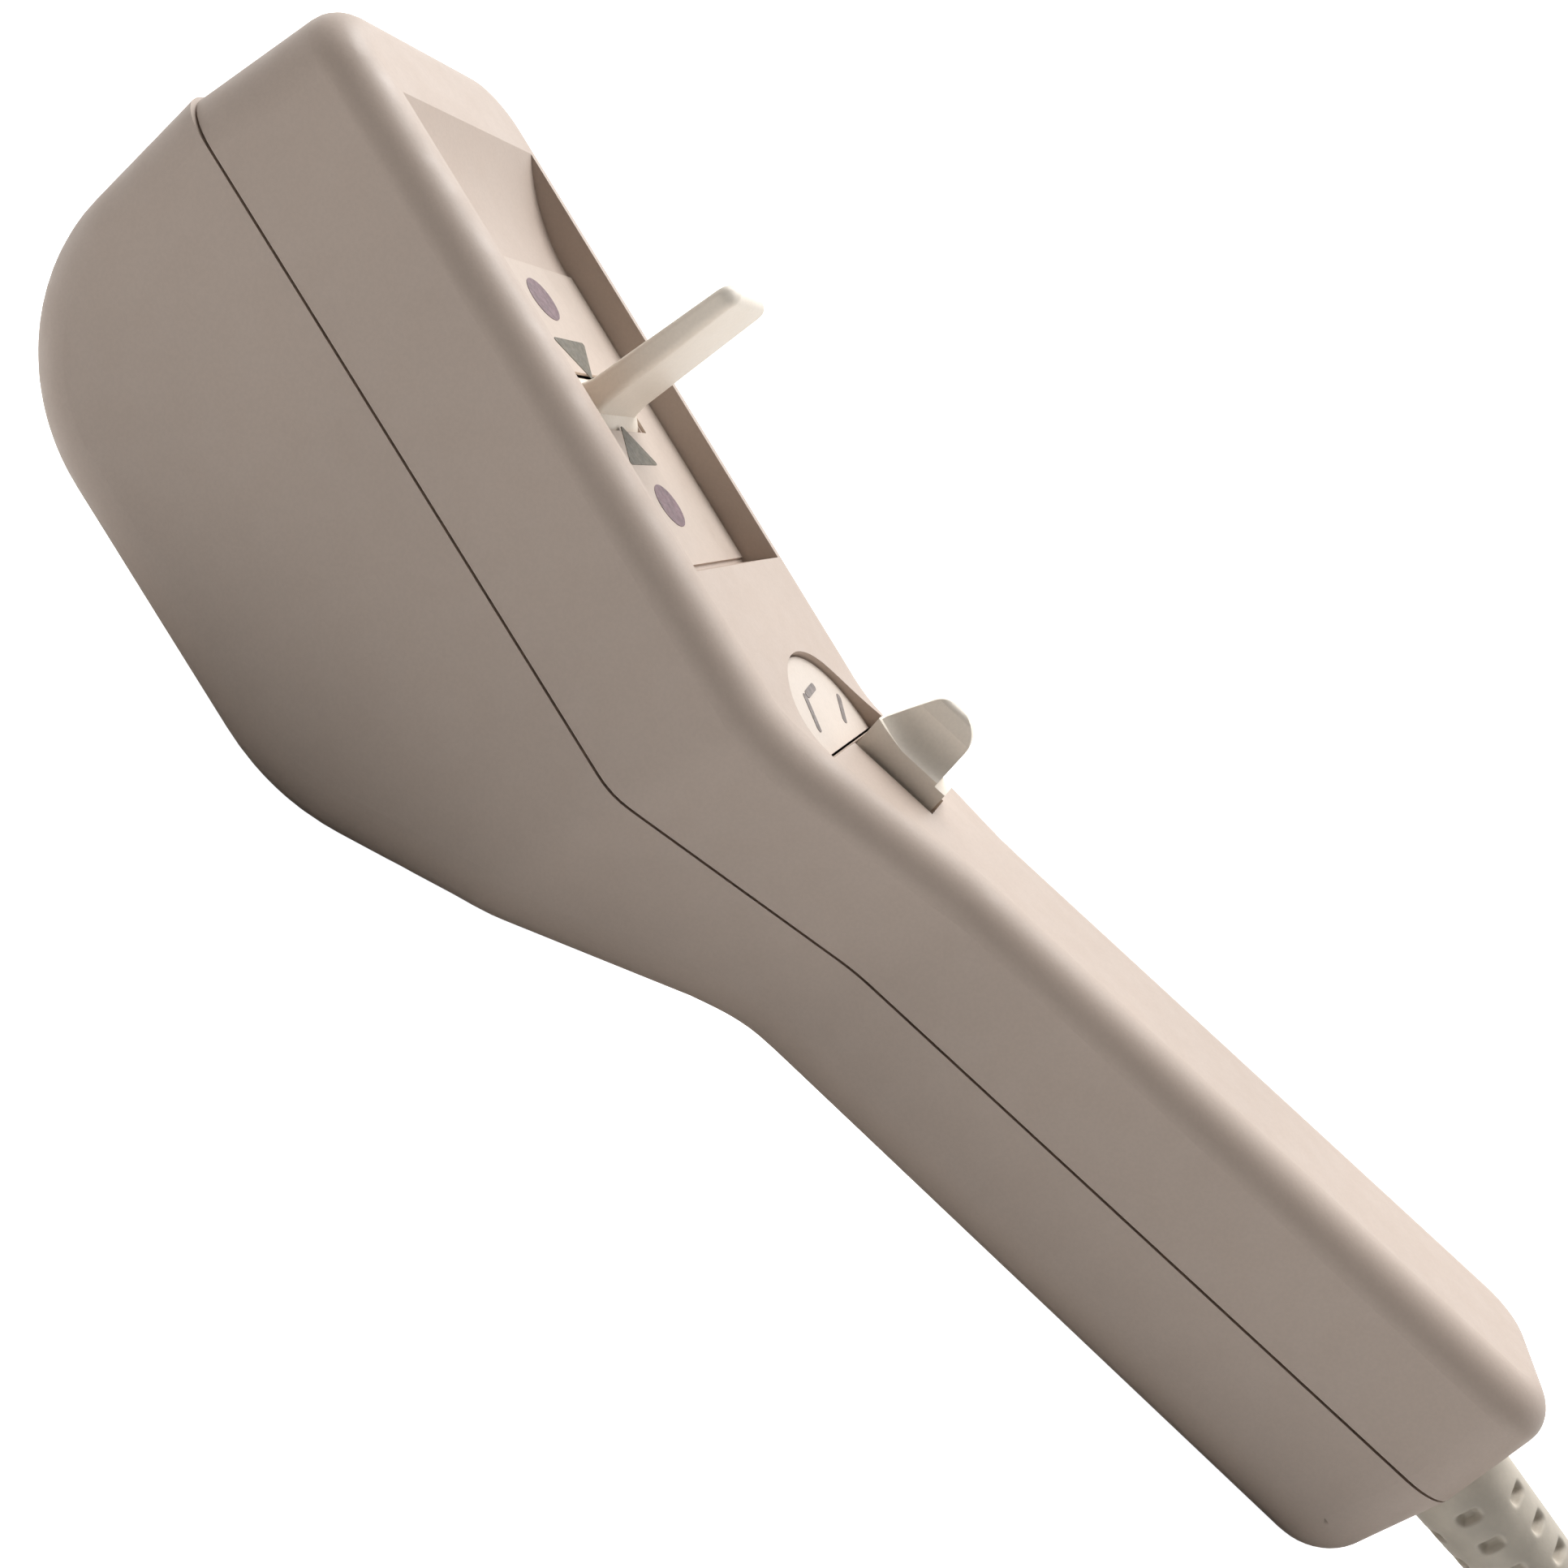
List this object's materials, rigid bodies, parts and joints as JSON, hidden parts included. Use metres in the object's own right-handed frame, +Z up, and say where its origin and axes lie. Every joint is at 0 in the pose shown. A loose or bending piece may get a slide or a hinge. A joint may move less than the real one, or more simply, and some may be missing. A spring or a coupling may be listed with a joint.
{
  "type": "corded hand control",
  "caption": "Corded hand control with a bellied head, a tilting paddle, a thumb rocker and a bent handle.",
  "frame": {"origin": "middle of the footprint box, on the surface that the control lies on", "axes": "+X from the head toward the cord, +Y across the housing, +Z up"},
  "size_m": [0.4187, 0.0645, 0.0848],
  "materials": {
    "shell": "fine spark-eroded grain on warm beige moulded plastic",
    "label": "smooth printed plate, a shade lighter than the shell",
    "control": "smooth off-white moulded plastic",
    "nylon": "natural moulded nylon",
    "steel": "plain zinc-plated steel",
    "zinc": "folded plated sheet steel",
    "spring": "drawn spring wire",
    "sensor": "blue moulded case",
    "tin": "tinned brass",
    "switch": "black moulded case",
    "board": "green solder mask",
    "header": "black moulded insulator",
    "component": "moulded black packages",
    "grey_rubber": "soft warm grey moulding",
    "grey_jacket": "smooth warm grey jacket",
    "wire": "coloured thin insulation",
    "nickel": "bright nickel plate"
  },
  "bodies": {
    "housing": {"upper_shell": "shell", "lower_shell": "shell", "label_plate": "label", "dial_plate": "label", "paddle_shaft": "steel", "shaft_clips": "steel", "control_frame": "zinc", "frame_screws": "steel", "paddle_spring": "spring", "sensor_body": "sensor", "sensor_terminals": "tin", "rocker_bracket": "zinc", "rocker_pin": "steel", "bracket_screws": "steel", "rocker_spring": "spring", "switch_case": "switch", "switch_terminals": "tin", "circuit_board": "board", "board_screws": "steel", "board_header": "header", "board_components": "component", "case_screws": "steel", "cord_clamp": "zinc", "clamp_screws": "steel", "strain_relief": "grey_rubber", "inner_cord": "grey_jacket", "cord_leads": "wire", "switch_leads": "wire", "cord_lead": "grey_jacket", "cord_tail": "grey_jacket", "cord_hank": "grey_jacket", "plug_relief": "grey_rubber", "plug_cover": "grey_rubber", "plug_shell": "nickel", "plug_insert": "header", "plug_pins": "nickel"},
    "paddle": {"paddle": "control", "sector_gear": "nylon"},
    "sensor_rotor": {"sensor_gear": "nylon", "sensor_shaft": "steel"},
    "thumb_rocker": {"thumb_rocker": "control"},
    "switch_slider": {"switch_slider": "nylon"}
  },
  "joints": [
    {"name": "paddle_tilt", "type": "hinge", "parent": "housing", "child": "paddle", "pos_m": [-0.05174, 0, 0.05789], "axis": [0, 1, 0], "range_deg": [-12, 12], "stiffness_Nm_per_rad": 0.06, "deforming": ["paddle_spring"]},
    {"name": "sensor_spin", "type": "hinge", "parent": "housing", "child": "sensor_rotor", "pos_m": [-0.06141, 0, 0.03484], "axis": [0, 1, 0], "range_deg": [-31, 31]},
    {"name": "rocker_tilt", "type": "hinge", "parent": "housing", "child": "thumb_rocker", "pos_m": [0.00668, 0, 0.0388], "axis": [0.9939, 0, -0.1104], "range_deg": [-6, 6], "stiffness_Nm_per_rad": 0.04, "deforming": ["rocker_spring"]},
    {"name": "switch_slide", "type": "slide", "parent": "housing", "child": "switch_slider", "axis": [0, 1, 0], "range_m": [-0.00096, 0.00096]}
  ],
  "couplings": [
    {"joint": "sensor_spin", "follows": "paddle_tilt", "ratio": -2.5714},
    {"joint": "switch_slide", "follows": "rocker_tilt", "m_per_rad": 0.009}
  ]
}
